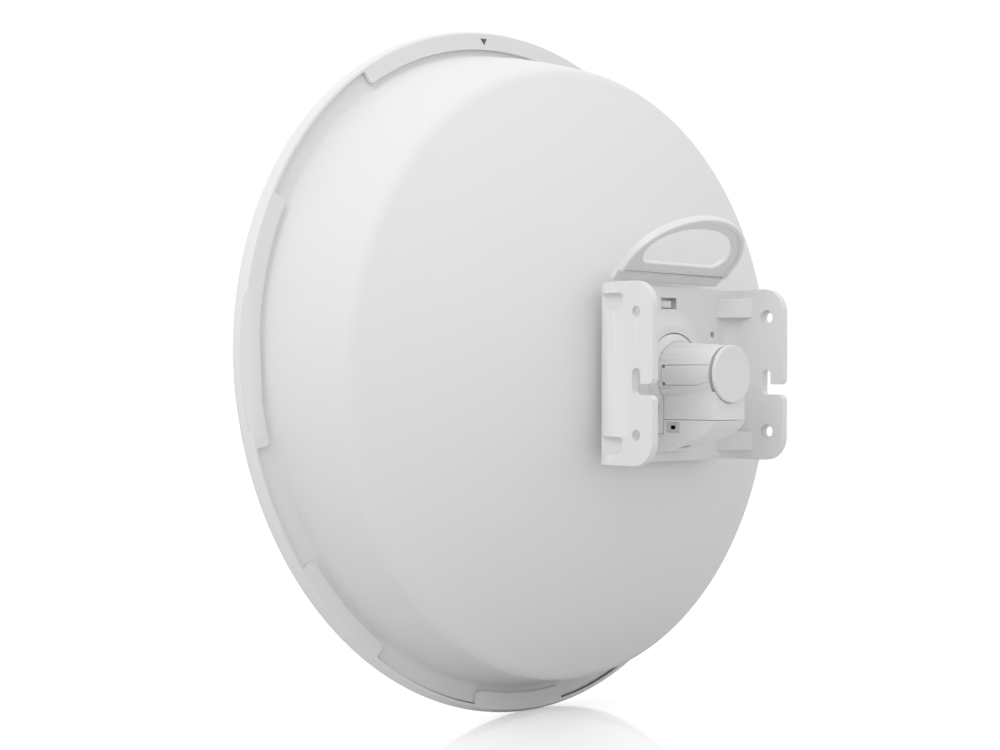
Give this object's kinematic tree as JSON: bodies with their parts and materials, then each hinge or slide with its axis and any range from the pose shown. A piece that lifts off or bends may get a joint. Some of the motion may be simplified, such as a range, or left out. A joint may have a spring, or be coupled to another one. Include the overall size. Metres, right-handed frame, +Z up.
{
  "type": "outdoor wireless bridge",
  "caption": "Round outdoor dish antenna with a hooked-on front radome, hooked pole bracket with carry handle, and a rear radio housing with a port cover.",
  "frame": {"origin": "midway between the bracket's two ears, on the axis of the bolts that hang in the hooks and on the dish axis", "axes": "+Z up, +Y from the dish towards the bracket and housing, so the dish looks towards -Y, +X completes the set"},
  "size_m": [0.459, 0.2109, 0.4578],
  "materials": {
    "radome_plastic": "fine moulded, satin white",
    "dish_coat": "smooth white powder coat",
    "bracket_coat": "fine-textured white powder coat",
    "housing_plastic": "fine moulded, satin white",
    "bare_metal": "plain",
    "screw_steel": "zinc plated",
    "black_plastic": "moulded",
    "clear_plastic": "frosted clear",
    "seal_rubber": "matt grey",
    "board_laminate": "green solder resist"
  },
  "bodies": {
    "bridge_body": {"reflector_dish": "dish_coat", "mount_bracket": "bracket_coat", "bracket_bolt_1": "screw_steel", "bracket_bolt_2": "screw_steel", "bracket_bolt_3": "screw_steel", "bracket_bolt_4": "screw_steel", "mount_collar": "housing_plastic", "rear_housing": "housing_plastic", "side_panel_left": "housing_plastic", "side_panel_right": "housing_plastic", "end_cap": "housing_plastic", "end_cap_seal": "seal_rubber", "radio_board": "board_laminate", "board_screw_1": "screw_steel", "board_screw_2": "screw_steel", "network_jack": "black_plastic", "shield_can": "screw_steel", "light_pipe": "clear_plastic", "reset_switch": "black_plastic", "feed_tube": "bare_metal", "feed_cap": "housing_plastic", "sub_reflector": "bare_metal", "feed_radiator": "board_laminate", "coax_line_1": "bare_metal", "coax_line_2": "bare_metal"},
    "radome": {"front_radome": "radome_plastic"},
    "port_cover": {"port_cover": "housing_plastic"},
    "latch": {"release_latch": "housing_plastic"},
    "reset": {"reset_button": "black_plastic"}
  },
  "joints": [
    {"name": "radome_twist", "type": "hinge", "parent": "bridge_body", "child": "radome", "pos_m": [0, -0.165, 0.004], "axis": [0, 0.9976, 0.0698], "range_deg": [0, 18]},
    {"name": "port_cover_slide", "type": "slide", "parent": "bridge_body", "child": "port_cover", "axis": [0, 1, 0], "range_m": [0, 0.05]},
    {"name": "latch_press", "type": "hinge", "parent": "bridge_body", "child": "latch", "pos_m": [0, -0.0364, 0.0192], "axis": [1, 0, 0], "range_deg": [0, 8], "stiffness_Nm_per_rad": 0.2},
    {"name": "reset_press", "type": "slide", "parent": "bridge_body", "child": "reset", "axis": [0, 0, 1], "range_m": [0, 0.0008], "stiffness_N_per_m": 600}
  ]
}
